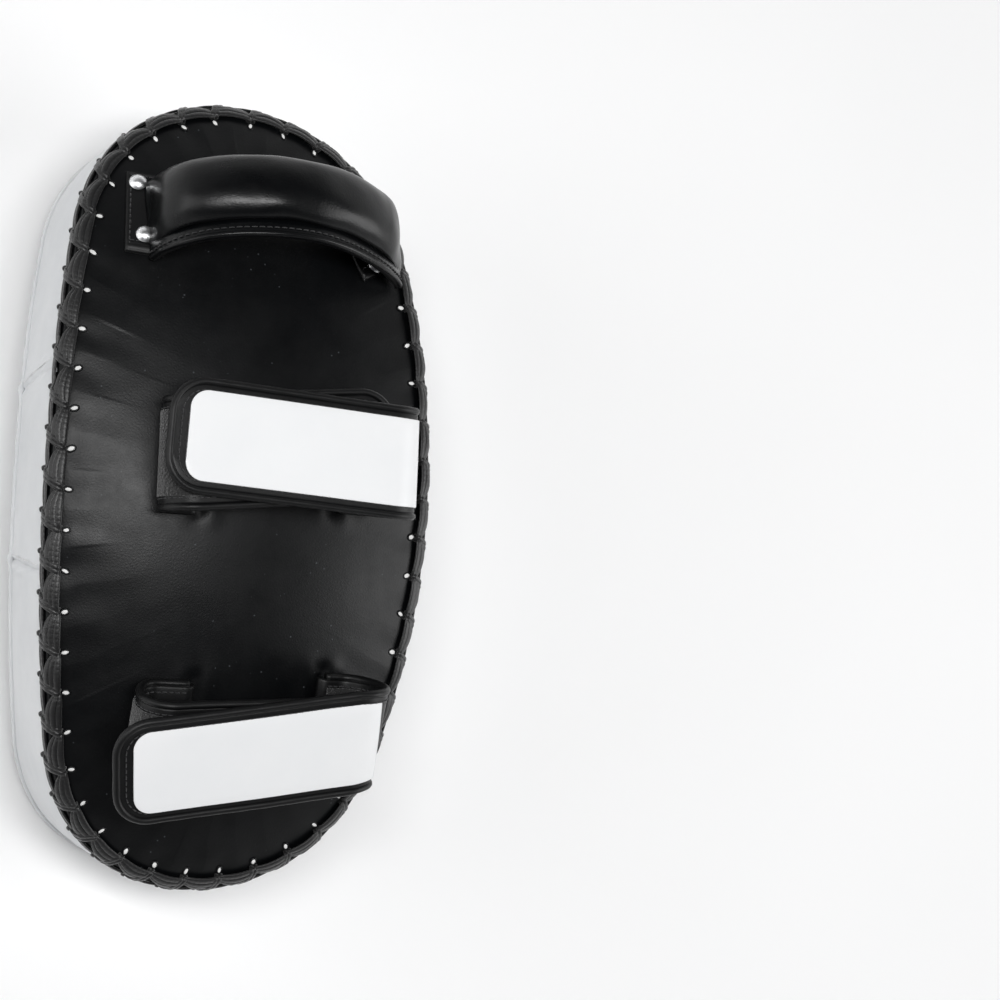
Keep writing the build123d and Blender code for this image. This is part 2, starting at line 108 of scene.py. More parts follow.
def back_normal(x, y):
    step = 0.4
    sx = (back_height(x + step, y) - back_height(x - step, y)) / (2 * step)
    sy = (back_height(x, y + step) - back_height(x, y - step)) / (2 * step)
    return unit(np.stack([-sx, -sy, np.ones_like(sx)], -1))


def arcs():
    side, end = (HALF_WIDTH - SIDE_RADIUS, 0.0), (0.0, HALF_LENGTH - END_RADIUS)
    sr, er = SIDE_RADIUS - CORNER_RADIUS, END_RADIUS - CORNER_RADIUS
    apart = math.hypot(end[0] - side[0], end[1] - side[1])
    share = (sr ** 2 - er ** 2 + apart ** 2) / (2 * apart)
    rise = math.sqrt(sr ** 2 - share ** 2)
    ux, uy = (end[0] - side[0]) / apart, (end[1] - side[1]) / apart
    cx, cy = side[0] + share * ux - rise * uy, side[1] + share * uy + rise * ux
    a = math.atan2(cy, cx - side[0])
    b = math.atan2(cy - end[1], cx)
    q = math.pi
    return [
        (side[0], 0.0, SIDE_RADIUS, -a, 2 * a), (cx, cy, CORNER_RADIUS, a, b - a),
        (0.0, end[1], END_RADIUS, b, q - 2 * b), (-cx, cy, CORNER_RADIUS, q - b, b - a),
        (-side[0], 0.0, SIDE_RADIUS, q - a, 2 * a), (-cx, -cy, CORNER_RADIUS, q + a, b - a),
        (0.0, -end[1], END_RADIUS, q + b, q - 2 * b), (cx, -cy, CORNER_RADIUS, -b, b - a),
    ]


ARCS = arcs()
LENGTHS = np.array([r * sweep for _, _, r, _, sweep in ARCS])
ENDS = np.cumsum(LENGTHS)
ROUND = ENDS[-1]


def outline(share):
    """Point and outward direction on the laced edge's outline at each share of its length."""
    at = np.mod(np.asarray(share, float), 1.0) * ROUND
    k = np.minimum(np.searchsorted(ENDS, at, side="right"), 7)
    table = np.array(ARCS)[k]
    angle = table[..., 3] + (at - (ENDS[k] - LENGTHS[k])) / table[..., 2]
    out = np.stack([np.cos(angle), np.sin(angle)], -1)
    place = table[..., :2] + out * table[..., 2:3]
    x, y = place[..., 0], place[..., 1]
    fuller = FULLER * smooth(x / 70.0) + FULLER_CORNERS * smooth((y - 20.0) / 90.0) * np.sign(x)
    longer = LONGER * smooth((np.abs(y) - 120.0) / 60.0) * np.sign(y)
    return place + np.stack([fuller, longer], -1), out


def rim(share):
    """The laced edge itself, which draws in as it gets lower, and its outward direction."""
    place, out = outline(share)
    xy = place
    for _ in range(5):
        xy = place - out * ((REST - back_height(xy[..., 0], xy[..., 1])) * TAPER)[..., None]
    return xy, out, back_height(xy[..., 0], xy[..., 1])


def wall_bottom(share, depth=DEPTH):
    """The wall's lower edge, or the line on it at another depth, and its outward direction."""
    place, out = outline(share)
    z = np.zeros(place.shape[:-1])
    for _ in range(8):
        xy = place - out * ((REST - z) * TAPER)[..., None]
        z = np.maximum(np.sqrt((BEND - depth) ** 2 - xy[..., 1] ** 2) + REST - BEND, 0.0)
    return xy, out, z


def edge_point(share, b, lift=0.0):
    """Near the laced edge: b below 0 is on the back panel, above 0 on the wall; lift is along the normal."""
    share, b, lift = np.broadcast_arrays(*(np.asarray(v, float) for v in (share, b, lift)))
    xy, out, z = rim(share)
    inner = xy - out * np.maximum(-b, 0.0)[..., None]
    zz = np.where(b < 0, back_height(inner[..., 0], inner[..., 1]), z - np.maximum(b, 0.0))
    flat = inner - out * (np.maximum(b, 0.0) * TAPER)[..., None]
    up = back_normal(inner[..., 0], inner[..., 1])
    side = np.concatenate([out, np.full(out.shape[:-1] + (1,), -TAPER)], -1)
    w = smooth((b + 4.0) / 8.0)[..., None]
    normal = unit(up * (1 - w) + side * w)
    round_off = (ROUND_OFF * np.exp(-(b / ROUND_REACH) ** 2))[..., None]
    return np.concatenate([flat, zz[..., None]], -1) + normal * (lift[..., None] - round_off), normal


def ripple(a, b, seed):
    """Smooth irregular variation, about -1 to 1."""
    r = np.random.default_rng(seed)
    total = 0.0
    for scale in (1.0, 1.9, 3.3):
        p = r.uniform(0, 6.28, 3)
        sway = 1.3 * np.sin(b * scale * 0.7 + p[1])
        wave = np.sin(a * scale * r.uniform(0.8, 1.2) + p[0] + sway)
        total = total + wave * np.cos(b * scale * r.uniform(0.8, 1.2) + p[2]) / scale
    return total / 1.4


# -------------------------------- meshes
def make(name, points, faces, material, uv=None):
    """A smooth-shaded object from points in mm."""
    mesh = bpy.data.meshes.new(name)
    mesh.from_pydata((np.asarray(points) * MM).tolist(), [], [list(map(int, f)) for f in faces])
    mesh.update()
    mesh.polygons.foreach_set("use_smooth", [True] * len(mesh.polygons))
    if uv is not None:
        layer = mesh.uv_layers.new(name="uv")
        loops = np.zeros(len(mesh.loops), np.int32)
        mesh.loops.foreach_get("vertex_index", loops)
        layer.data.foreach_set("uv", (np.asarray(uv)[loops] * MM).astype(np.float32).ravel())
    mesh.materials.append(material)
    obj = bpy.data.objects.new(name, mesh)
    bpy.context.scene.collection.objects.link(obj)
    return obj


def grid_faces(nu, nv, loop_u=False, loop_v=False, flip=False):
    """Quads of a grid of nu by nv points, which may close on itself either way."""
    u = np.arange(nu if loop_u else nu - 1)
    v = np.arange(nv if loop_v else nv - 1)
    a, b = np.meshgrid(u, v, indexing="ij")
    a, b = a.ravel(), b.ravel()
    a1, b1 = (a + 1) % nu, (b + 1) % nv
    quads = np.stack([a * nv + b, a1 * nv + b, a1 * nv + b1, a * nv + b1], -1)
    return quads[:, ::-1] if flip else quads


class Builder:
    """Collects many small meshes into one piece."""

    def __init__(self):
        self.points, self.faces, self.uv, self.count = [], [], [], 0

    def add(self, points, faces, uv=None):
        points = np.asarray(points, float).reshape(-1, 3)
        self.points.append(points)
        self.faces += [tuple(int(i) + self.count for i in f) for f in faces]
        uv = np.zeros((len(points), 2)) if uv is None else np.asarray(uv, float).reshape(-1, 2)
        self.uv.append(uv)
        self.count += len(points)

    def piece(self, name, material):
        return make(name, np.concatenate(self.points), self.faces, material, np.concatenate(self.uv))


def end_caps(rings, sides):
    return [list(range(sides)), list(range((rings - 1) * sides, rings * sides))[::-1]]


def tube(builder, path, normals, width, height, sides=10, power=1.0, closed=False):
    """Sweeps an oval: width across and height along the normals, both per point or constant."""
    path = np.asarray(path, float)
    n = len(path)
    if closed:
        tangent = unit(np.roll(path, -1, 0) - np.roll(path, 1, 0))
    else:
        tangent = unit(np.gradient(path, axis=0))
    across = unit(np.cross(tangent, normals))
    up = unit(np.cross(across, tangent))
    angle = np.linspace(0, 2 * math.pi, sides, endpoint=False)
    c, s = np.cos(angle), np.sin(angle)
    c, s = np.sign(c) * np.abs(c) ** power, np.sign(s) * np.abs(s) ** power
    w = np.broadcast_to(np.asarray(width, float), (n,))[:, None, None] / 2
    h = np.broadcast_to(np.asarray(height, float), (n,))[:, None, None] / 2
    points = path[:, None] + across[:, None] * c[None, :, None] * w + up[:, None] * s[None, :, None] * h
    along = np.concatenate([[0], np.cumsum(np.linalg.norm(np.diff(path, axis=0), axis=1))])
    around = (angle / (2 * math.pi)) * (np.mean(w) + np.mean(h)) * math.pi
    uv = np.stack(np.meshgrid(along, around, indexing="ij"), -1)
    faces = grid_faces(n, sides, loop_u=closed, loop_v=True).tolist()
    if not closed:
        faces += end_caps(n, sides)
    builder.add(points, faces, uv)


def stitches(builder, path, normals, pitch, length, width, sink=0.0):
    """A row of thread stitches lying along a path."""
    path = np.asarray(path, float)
    step = np.linalg.norm(np.diff(path, axis=0), axis=1)
    along = np.concatenate([[0], np.cumsum(step)])
    for k in range(int(along[-1] / pitch)):
        s = (k + 0.5) * pitch + np.array([-0.5, -0.42, -0.2, 0.2, 0.42, 0.5]) * length
        p = np.stack([np.interp(s, along, path[:, i]) for i in range(3)], -1)
        nn = unit(np.stack([np.interp(s, along, normals[:, i]) for i in range(3)], -1))
        rise = np.array([-1.0, 0.1, 0.8, 0.8, 0.1, -1.0]) * width * 0.42 - sink
        fat = np.array([0.35, 0.8, 1.0, 1.0, 0.8, 0.35]) * width
        tube(builder, p + nn * rise[:, None], nn, fat, fat, sides=6)


# -------------------------------- materials
def nodes_for(name):
    m = bpy.data.materials.new(name)
    m.use_nodes = True
    t = m.node_tree
    return m, t, t.nodes["Principled BSDF"]


def link(t, a, out, b, socket):
    t.links.new(a.outputs[out], b.inputs[socket])


def noise(t, scale, detail=3.0, rough=0.55, vector=None, kind="ShaderNodeTexNoise"):
    n = t.nodes.new(kind)
    n.inputs["Scale"].default_value = scale
    if kind == "ShaderNodeTexNoise":
        n.inputs["Detail"].default_value = detail
        n.inputs["Roughness"].default_value = rough
    if vector is not None:
        t.links.new(vector, n.inputs["Vector"])
    return n


def ramp(t, source, low, high, a=0.3, b=0.7):
    r = t.nodes.new("ShaderNodeValToRGB")
    r.color_ramp.elements[0].position, r.color_ramp.elements[1].position = a, b
    r.color_ramp.elements[0].color = low if len(low) == 4 else (*low, 1)
    r.color_ramp.elements[1].color = high if len(high) == 4 else (*high, 1)
    t.links.new(source, r.inputs["Fac"])
    return r


def bump(t, source, strength, distance, after=None):
    b = t.nodes.new("ShaderNodeBump")
    b.inputs["Strength"].default_value = strength
    b.inputs["Distance"].default_value = distance
    t.links.new(source, b.inputs["Height"])
    if after is not None:
        t.links.new(after.outputs["Normal"], b.inputs["Normal"])
    return b


def leather(name, dark, light, rough, grain, depth, gloss, creases=0.00025, specks=None):
    """Grained leather: a colour between two tones, fine cells, soft creases and, if given, pale specks."""
    m, t, p = nodes_for(name)
    where = t.nodes.new("ShaderNodeTexCoord").outputs["Object"]
    broad = noise(t, 16.0, 4.0, 0.6, where)
    colour = ramp(t, broad.outputs["Fac"], dark, light, 0.32, 0.72)
    cells = noise(t, grain, vector=where, kind="ShaderNodeTexVoronoi")
    cells.feature = "DISTANCE_TO_EDGE"
    fine = noise(t, grain * 1.7, 5.0, 0.6, where)
    crease = noise(t, 70.0, 5.0, 0.62, where)
    first = bump(t, crease.outputs["Fac"], 0.5, creases)
    second = bump(t, cells.outputs["Distance"], 0.55, depth, first)
    third = bump(t, fine.outputs["Fac"], 0.5, depth * 0.7, second)
    worn = noise(t, 42.0, 5.0, 0.7, where)
    mix = t.nodes.new("ShaderNodeMapRange")
    mix.inputs["To Min"].default_value, mix.inputs["To Max"].default_value = rough
    mix.inputs["From Min"].default_value, mix.inputs["From Max"].default_value = 0.3, 0.7
    link(t, worn, "Fac", mix, "Value")
    link(t, mix, "Result", p, "Roughness")
    link(t, third, "Normal", p, "Normal")
    p.inputs["Specular IOR Level"].default_value = gloss
    last = colour
    if specks is not None:
        dots = noise(t, 210.0, vector=where, kind="ShaderNodeTexVoronoi")
        spot = ramp(t, dots.outputs["Distance"], (1, 1, 1), (0, 0, 0), 0.05, 0.11)
        rare = noise(t, 60.0, 1.0, 0.5, where)
        keep = ramp(t, rare.outputs["Fac"], (0, 0, 0), (1, 1, 1), 0.55, 0.62)
        both = t.nodes.new("ShaderNodeMath")
        both.operation = "MULTIPLY"
        link(t, spot, "Color", both, 0)
        link(t, keep, "Color", both, 1)
        mixed = t.nodes.new("ShaderNodeMixRGB")
        mixed.inputs["Color2"].default_value = (*specks, 1)
        link(t, both, "Value", mixed, "Fac")
        link(t, colour, "Color", mixed, "Color1")
        last = mixed
    link(t, last, "Color", p, "Base Color")
    return m


def braid(name, dark, light, along=950.0, rough=0.62, relief=0.8):
    """Woven tape or thread, from the piece's own lengthwise and crosswise coordinates."""
    m, t, p = nodes_for(name)
    uv = t.nodes.new("ShaderNodeTexCoord").outputs["UV"]
    waves = []
    for turn in (0.7, -0.7):
        mapping = t.nodes.new("ShaderNodeMapping")
        mapping.inputs["Rotation"].default_value = (0, 0, turn)
        t.links.new(uv, mapping.inputs["Vector"])
        w = t.nodes.new("ShaderNodeTexWave")
        w.inputs["Scale"].default_value = along / 6.0
        w.inputs["Distortion"].default_value = 0.6
        link(t, mapping, "Vector", w, "Vector")
        waves.append(w)
    both = t.nodes.new("ShaderNodeMath")
    both.operation = "MAXIMUM"
    link(t, waves[0], "Fac", both, 0)
    link(t, waves[1], "Fac", both, 1)
    fuzz = noise(t, 900.0, 3.0, 0.6, t.nodes.new("ShaderNodeTexCoord").outputs["Object"])
    colour = ramp(t, fuzz.outputs["Fac"], dark, light, 0.35, 0.7)
    first = bump(t, both.outputs["Value"], relief, 0.00025)
    second = bump(t, fuzz.outputs["Fac"], 0.5, 0.0001, first)
    link(t, colour, "Color", p, "Base Color")
    link(t, second, "Normal", p, "Normal")
    p.inputs["Roughness"].default_value = rough
    p.inputs["Sheen Weight"].default_value = 0.15
    return m


def pile(name, dark, light, scale, height, rough=0.85):
    """Cloth pile, bristle, foam or fibre board, by its scale and height."""
    m, t, p = nodes_for(name)
    where = t.nodes.new("ShaderNodeTexCoord").outputs["Object"]
    a = noise(t, scale, 5.0, 0.7, where)
    b = noise(t, scale * 0.45, vector=where, kind="ShaderNodeTexVoronoi")
    colour = ramp(t, a.outputs["Fac"], dark, light, 0.35, 0.7)
    first = bump(t, b.outputs["Distance"], 0.8, height)
    second = bump(t, a.outputs["Fac"], 0.8, height * 0.6, first)
    link(t, colour, "Color", p, "Base Color")
    link(t, second, "Normal", p, "Normal")
    p.inputs["Roughness"].default_value = rough
    p.inputs["Sheen Weight"].default_value = 0.3
    return m


def metal(name, colour, rough=0.12):
    m, t, p = nodes_for(name)
    where = t.nodes.new("ShaderNodeTexCoord").outputs["Object"]
    haze = noise(t, 500.0, 4.0, 0.6, where)
    shade = ramp(t, haze.outputs["Fac"], tuple(c * 0.9 for c in colour), colour, 0.35, 0.65)
    scuff = bump(t, haze.outputs["Fac"], 0.25, 0.00004)
    rough_map = t.nodes.new("ShaderNodeMapRange")
    rough_map.inputs["To Min"].default_value = rough * 0.7
    rough_map.inputs["To Max"].default_value = rough * 1.6
    link(t, haze, "Fac", rough_map, "Value")
    link(t, rough_map, "Result", p, "Roughness")
    link(t, shade, "Color", p, "Base Color")
    link(t, scuff, "Normal", p, "Normal")
    p.inputs["Metallic"].default_value = 1.0
    return m


DEEP_BLACK = ((0.0009, 0.0011, 0.0014), (0.0024, 0.0028, 0.0033))
BLACK = leather("black_cowhide", *DEEP_BLACK, (0.34, 0.44), 640.0, 0.00009, 0.24, 0.00012,
                specks=(0.05, 0.055, 0.06))
STRAP_BLACK = leather("black_strap_leather", (0.0012, 0.0013, 0.0015), (0.003, 0.0032, 0.0035), (0.40, 0.5),
                      800.0, 0.0001, 0.3)
GRIP_BLACK = leather("black_grip_leather", *DEEP_BLACK, (0.26, 0.34), 640.0, 0.00009, 0.3, 0.00035)
WHITE = leather("white_wall_leather", (0.56, 0.575, 0.59), (0.64, 0.65, 0.66), (0.38, 0.5), 520.0, 0.00008,
                0.4, 0.0002)
PATCH_WHITE = leather("white_patch_leather", (0.77, 0.78, 0.79), (0.81, 0.815, 0.82), (0.36, 0.44), 700.0,
                      0.00004, 0.35, 0.0001)
LACE = braid("black_lace", (0.0015, 0.0015, 0.0017), (0.006, 0.006, 0.0064), rough=0.42, relief=0.3)
THREAD = braid("black_thread", (0.008, 0.008, 0.009), (0.022, 0.022, 0.024), along=3000.0, rough=0.5)
WHITE_THREAD = braid("white_thread", (0.6, 0.61, 0.62), (0.8, 0.8, 0.8), along=3000.0, rough=0.6)
LINING = pile("white_lining", (0.75, 0.75, 0.74), (0.88, 0.88, 0.87), 2500.0, 0.0002)
LOOP = pile("loop_pile", (0.002, 0.002, 0.002), (0.010, 0.010, 0.0105), 1500.0, 0.0008)
HOOK = pile("hook_bristle", (0.003, 0.003, 0.003), (0.010, 0.010, 0.010), 2200.0, 0.0006, 0.7)
FOAM = pile("foam_cells", (0.55, 0.52, 0.42), (0.72, 0.68, 0.56), 1800.0, 0.0004)
BOARD = pile("fibre_board", (0.2, 0.17, 0.12), (0.32, 0.28, 0.21), 900.0, 0.0002)
NICKEL = metal("bright_nickel", (0.92, 0.93, 0.94), 0.3)

# -------------------------------- back panel
MIDDLE = LENGTHS[0] / 2 / ROUND
AROUND = 1200


def steps(*stretches):
    """Stretches of even steps (first, last, count), one after the other."""
    return np.unique(np.concatenate([np.linspace(*stretch) for stretch in stretches]))


def towards_spine(start, along, t):
    """Rows of points that run from the edge in towards the pad's long middle line."""
    spine = np.stack([np.zeros(len(along)), along * 0.55], -1)
    return start[:, None] * (1 - t[None, :, None]) + spine[:, None] * t[None, :, None]


def weld(obj):
    obj.modifiers.new("weld", "WELD").merge_threshold = 0.00003
    return obj


def back_panel():
    """The back leather, puckered at the lace holes and drawn down at the straps, with its turned edge."""
    share = MIDDLE + np.arange(AROUND) / AROUND
    xy, out, _ = rim(share)
    t = steps((0.035, 0.12, 12), (0.12, 0.5, 40), (0.5, 1.0, 22))
    place = towards_spine(xy, xy[:, 1], t)
    d = np.einsum("ijk,ik->ij", xy[:, None] - place, out)
    x, y = place[..., 0], place[..., 1]
    phase = share * STITCHES - PANEL_HOLE
    k = np.round(phase).astype(int) % STITCHES
    power = RNG.uniform(0.1, 1.3, STITCHES)[k][:, None]
    reach = RNG.uniform(6.0, 15.0, STITCHES)[k][:, None]
    bend = 0.22 * ripple(phase[:, None] * 0.9, d / 16.0, 8) * smooth(d / 30.0)
    off = (phase - np.round(phase))[:, None] + bend
    near = np.exp(-(off / (0.2 + 0.014 * np.minimum(d, 20.0))) ** 2)
    fade = np.exp(-(np.maximum(d - 8.0, 0.0) / (1.9 * reach)) ** 1.6)
    dip = -0.42 * power * near * fade * smooth(d / 5.0)
    swell = 0.25 * np.exp(-np.maximum(d - 8.0, 0) / 13.0) * (1 - near) * smooth(d / 8.0)
    pull = -1.7 * np.exp(-d / 4.5)
    loose = 0.5 * ripple(x / 30.0, y / 17.0, 3) * np.exp(-(d / 42.0) ** 2)
    loose = loose + 0.15 * ripple(x / 60.0, y / 60.0, 5)
    z = back_height(x, y) + dip + swell + pull + loose * smooth(d / 12.0)
    for strap in STRAPS:
        for side in ("left", "right"):
            slot, centre = strap[side + "_slot"], strap["middle"] + strap[side + "_offset"]
            along = np.maximum(np.abs(y - centre) - 26.0, 0.0)
            z = z - 1.3 * np.exp(-((x - slot) / 3.4) ** 2 - (along / 4.0) ** 2)
            z = z + 0.6 * np.exp(-((np.abs(x - slot) - 7.0) / 4.5) ** 2 - (along / 7.0) ** 2)
    points = np.stack([x, y, z], -1)
    wall_phase = share * STITCHES - WALL_HOLE
    scallop = 8.2 + 1.6 * np.exp(-((wall_phase - np.round(wall_phase)) / 0.22) ** 2)
    skirt = [edge_point(share, low * scallop, 0.85)[0] for low in (1.0, 0.8, 0.6, 0.4, 0.2, 0.05)]
    skirt.insert(0, edge_point(share, scallop, -0.6)[0])
    skirt.append(edge_point(share, -1.0, 0.2)[0])
    points[:, 0] = edge_point(share, -2.4, 0.0)[0]
    points = np.concatenate([np.stack(skirt, 1), points], 1)
    rows = points.shape[1]
    return weld(make("back_leather", points.reshape(-1, 3), grid_faces(AROUND, rows, loop_u=True), BLACK))


# -------------------------------- white wall, strike face, piping
def along_bend(y, z):
    return np.arctan2(y, z - (REST - BEND)) * BEND


def wall():
    """The white side wall: full between its edges, drawn in at the lace and at the gore seams."""
    share = MIDDLE + np.arange(AROUND) / AROUND
    w = steps((0, 0.2, 12), (0.2, 0.93, 26), (0.93, 1.0, 7))
    top, out, z0 = rim(share)
    low, _, z1 = wall_bottom(share)
    z0 = z0 - WALL_START
    z = z0[:, None] * (1 - w) + z1[:, None] * w
    xy = top[:, None] * (1 - w)[None, :, None] + low[:, None] * w[None, :, None]
    tall = (z0 - z1)[:, None]
    drop = w[None, :] * tall
    arc = along_bend(xy[..., 1], z)
    bulge = WALL_BULGE * np.sin(math.pi * np.clip(w, 0, 1))[None, :] ** 0.8
    waves = ripple(arc / 26.0, drop / 20.0 + np.sign(xy[..., 0]), 9)
    bulge = bulge + 0.35 * waves * np.sin(math.pi * w)[None, :]
    phase = share * STITCHES - WALL_HOLE
    near = np.exp(-((phase - np.round(phase)) / 0.2) ** 2)[:, None]
    bulge = bulge - 1.1 * near * np.exp(-((drop - WALL_DROP) / 6.0) ** 2)
    for seam in SEAMS:
        off = arc - seam
        bulge = bulge - 1.5 * np.exp(-(off / 0.9) ** 2) + 0.7 * np.exp(-((np.abs(off) - 4.5) / 3.2) ** 2)
        gather = 0.35 * np.exp(-(off / 9.0) ** 2) * np.sin(off * 1.1 + drop * 0.25)
        bulge = bulge + gather * np.exp(-(off / 6.0) ** 2)
    bulge = bulge - TURN_UNDER * smooth((w[None, :] - 0.95) / 0.05) - 1.8 * np.exp(-(drop / 2.6) ** 2)
    xy = xy + out[:, None] * bulge[..., None]
    points = np.concatenate([xy, z[..., None]], -1)
    faces = grid_faces(AROUND, len(w), loop_u=True, flip=True)
    return make("wall_leather", points.reshape(-1, 3), faces, WHITE)


def strike_face():
    """The concave white leather on the strike side, slightly full, with the gore seams carried in."""
    share = MIDDLE + np.arange(AROUND // 2) / (AROUND // 2)
    xy, out, _ = wall_bottom(share)
    t = steps((0.0, 0.08, 9), (0.08, 1.0, 34))
    start = xy - out * TURN_UNDER
    place = towards_spine(start, xy[:, 1], t)
    d = np.einsum("ijk,ik->ij", start[:, None] - place, out)
    x, y = place[..., 0], place[..., 1]
    z = np.maximum(np.sqrt((BEND - DEPTH) ** 2 - y * y) + REST - BEND, 0.0)
    z = z + 1.6 * np.exp(-d / 2.2) + 0.35 * (1 + ripple(x / 45.0, y / 45.0, 21)) * smooth(d / 20.0)
    for seam in SEAMS:
        z = z + 0.5 * np.exp(-((along_bend(y, z) - seam) / 1.2) ** 2) * np.exp(-d / 7.0)
    points = np.stack([x, y, z], -1)
    faces = grid_faces(len(share), len(t), loop_u=True, flip=True)
    return weld(make("strike_leather", points.reshape(-1, 3), faces, WHITE))


def piping():
    """The cord along the wall's front edge, with a nub at each gore seam."""
    share = MIDDLE + np.arange(700) / 700
    xy, out, z = wall_bottom(share, DEPTH - PIPING_RISE)
    z = np.maximum(z, PIPING_RISE)
    arc = along_bend(xy[:, 1], z)
    nub = sum(np.exp(-((arc - seam) / 2.6) ** 2) for seam in SEAMS)
    centre = np.concatenate([xy + out * (0.3 + 0.9 * nub)[:, None], z[:, None]], -1)
    normal = np.concatenate([out, np.zeros((len(out), 1))], -1)
    b = Builder()
    tube(b, centre, normal, 3.2 + 0.7 * nub, 3.0 + 1.0 * nub, sides=10, closed=True)
    return b.piece("front_piping_cord", WHITE)


def wall_stitching():
    """One row of stitches beside each gore seam, on both side walls."""
    b = Builder()
    share = np.linspace(0, 1, 4001)
    low, out, z1 = wall_bottom(share)
    top, _, z0 = rim(share)
    for seam in SEAMS:
        for mirror in (-1, 1):
            rows = []
            for w in np.linspace(0.17, 0.93, 26):
                xy = top * (1 - w) + low * w
                z = (z0 - WALL_START) * (1 - w) + z1 * w
                other_side = np.where(np.sign(xy[:, 0]) == mirror, 0, 1e6)
                k = int(np.argmin(np.abs(along_bend(xy[:, 1], z) - seam - SEAM_TO_STITCHES) + other_side))
                lift = WALL_BULGE * math.sin(math.pi * w) ** 0.8 + 0.75
                rows.append((*(xy[k] + out[k] * lift), z[k], *out[k]))
            rows = np.array(rows)
            for c in range(5):
                padded = np.pad(rows[:, c], 2, mode="reflect", reflect_type="odd")
                rows[:, c] = np.convolve(padded, np.ones(5) / 5, "valid")
            normals = np.concatenate([rows[:, 3:], np.zeros((len(rows), 1))], 1)
            stitches(b, rows[:, :3], normals, pitch=3.6, length=2.5, width=0.6, sink=0.05)
    return b.piece("wall_seam_stitching", WHITE_THREAD)


# -------------------------------- lace
def lace():
    """Flat lace over the edge: for each stitch, strands on the back and the wall, and tight turns between."""
    b = Builder()
    pitch = 1.0 / STITCHES
    t = np.linspace(0, 1, 17)
    mound = np.sin(math.pi * t)
    for k in range(STITCHES):
        start = (k + PANEL_HOLE) / STITCHES
        wobble = RNG.uniform(-1, 1, 12)
        # long strands that lie along the back edge from one panel hole to the next
        for strand in range(3):
            spread = (strand - 1) * (2.3 + 0.3 * wobble[strand])
            s = start + pitch * (-0.04 + 1.12 * t)
            side = -4.4 + 2.2 * mound + spread * mound ** 0.6 + 0.9 * (t - 0.5)
            lift = 0.75 + 1.35 * mound ** 0.6 + (0.45 if strand == 1 else 0.0) * mound
            lift = lift + 0.35 * wobble[3 + strand] * mound
            lift = lift - 1.8 * smooth((t - 0.9) / 0.1) - 0.6 * smooth((0.08 - t) / 0.08)
            p, n = edge_point(s, side, lift)
            tube(b, p, n, 1.5 + 2.0 * mound ** 0.5, 1.1 + 0.35 * mound, sides=8, power=0.75)
        # strands along the wall side of the edge
        for strand in range(2):
            s = start - pitch * 0.52 + pitch * (-0.05 + 1.12 * t)
            side = 3.2 + 2.6 * strand + (0.9 - 0.5 * strand) * mound + 0.3 * wobble[6 + strand]
            side = np.where(t > 0.86, side + (t - 0.86) / 0.14 * (WALL_DROP - 2.2 - side), side)
            lift = 0.8 + 0.85 * mound ** 0.6
            p, n = edge_point(s, side, lift)
            tube(b, p, n, 1.7 + 1.7 * mound ** 0.5, 1.0 + 0.3 * mound, sides=8, power=0.75)
        # the tight diagonal turns from the wall hole over the edge into the panel hole
        for strand in range(2):
            u = np.linspace(0, 1, 15)
            s = start - pitch * (0.44 * (1 - u) - 0.055 * (strand - 0.5) * 2)
            side = WALL_DROP - 0.6 - (WALL_DROP + PANEL_INSET - 1.6) * u
            lift = 1.0 + 1.45 * np.sin(math.pi * u) ** 0.55
            lift = lift - 1.9 * smooth((u - 0.93) / 0.07) - 1.9 * smooth((0.07 - u) / 0.07)
            p, n = edge_point(s, side, lift)
            tube(b, p, n, 2.5 + 0.3 * wobble[8 + strand], 1.2, sides=8, power=0.75)
        # the small loop that stands out at the wall hole
        u = np.linspace(0, 1, 9)
        s = start - pitch * 0.5 + pitch * 0.1 * (u - 0.5)
        side = WALL_DROP - 1.4 + 2.4 * u
        p, n = edge_point(s, side, 0.4 + 2.0 * np.sin(math.pi * u))
        tube(b, p, n, 2.3, 1.3, sides=8, power=0.8)
    return b.piece("edge_lace_braid", LACE)


def lace_holes():
    """The back panel's lace holes: a black rim round a dome of the white lining."""
    rings, white = Builder(), Builder()
    corners = 20
    a = np.linspace(0, 2 * math.pi, corners, endpoint=False)
    ca, sa = np.cos(a), np.sin(a)
    inset = np.array([-PANEL_INSET - 1.5])
    for k in range(STITCHES):
        share = (k + PANEL_HOLE) / STITCHES
        centres, normals = edge_point(np.array([share]), inset, np.array([0.0]))
        c, n = centres[0], normals[0]
        along = unit(edge_point(np.array([share + 0.001]), inset, np.array([0.0]))[0][0] - c)
        across = np.cross(n, along)
        long, short = 2.15 + RNG.uniform(-0.25, 0.3), 1.35 + RNG.uniform(-0.2, 0.2)
        tilt = RNG.uniform(-0.5, 0.5)
        e1 = across * math.cos(tilt) + along * math.sin(tilt)
        e2 = along * math.cos(tilt) - across * math.sin(tilt)
        loop = c + e1 * (ca * long)[:, None] + e2 * (sa * short)[:, None] - n * 0.55
        tube(rings, loop, np.repeat(n[None], corners, 0), 1.1, 1.5, sides=8, closed=True)
        dome = [c + n * 0.05]
        for r, h in ((0.45, -0.02), (0.8, -0.2), (1.02, -0.6)):
            dome += list(c + e1 * (ca * long * r)[:, None] + e2 * (sa * short * r)[:, None] + n * h)
        faces = [(0, 1 + i, 1 + (i + 1) % corners) for i in range(corners)]
        for first in (1, 1 + corners):
            for i in range(corners):
                j = (i + 1) % corners
                faces.append((first + i, first + corners + i, first + corners + j, first + j))
        white.add(dome, faces)
    return rings.piece("lace_hole_rims", BLACK), white.piece("lace_hole_lining", LINING)


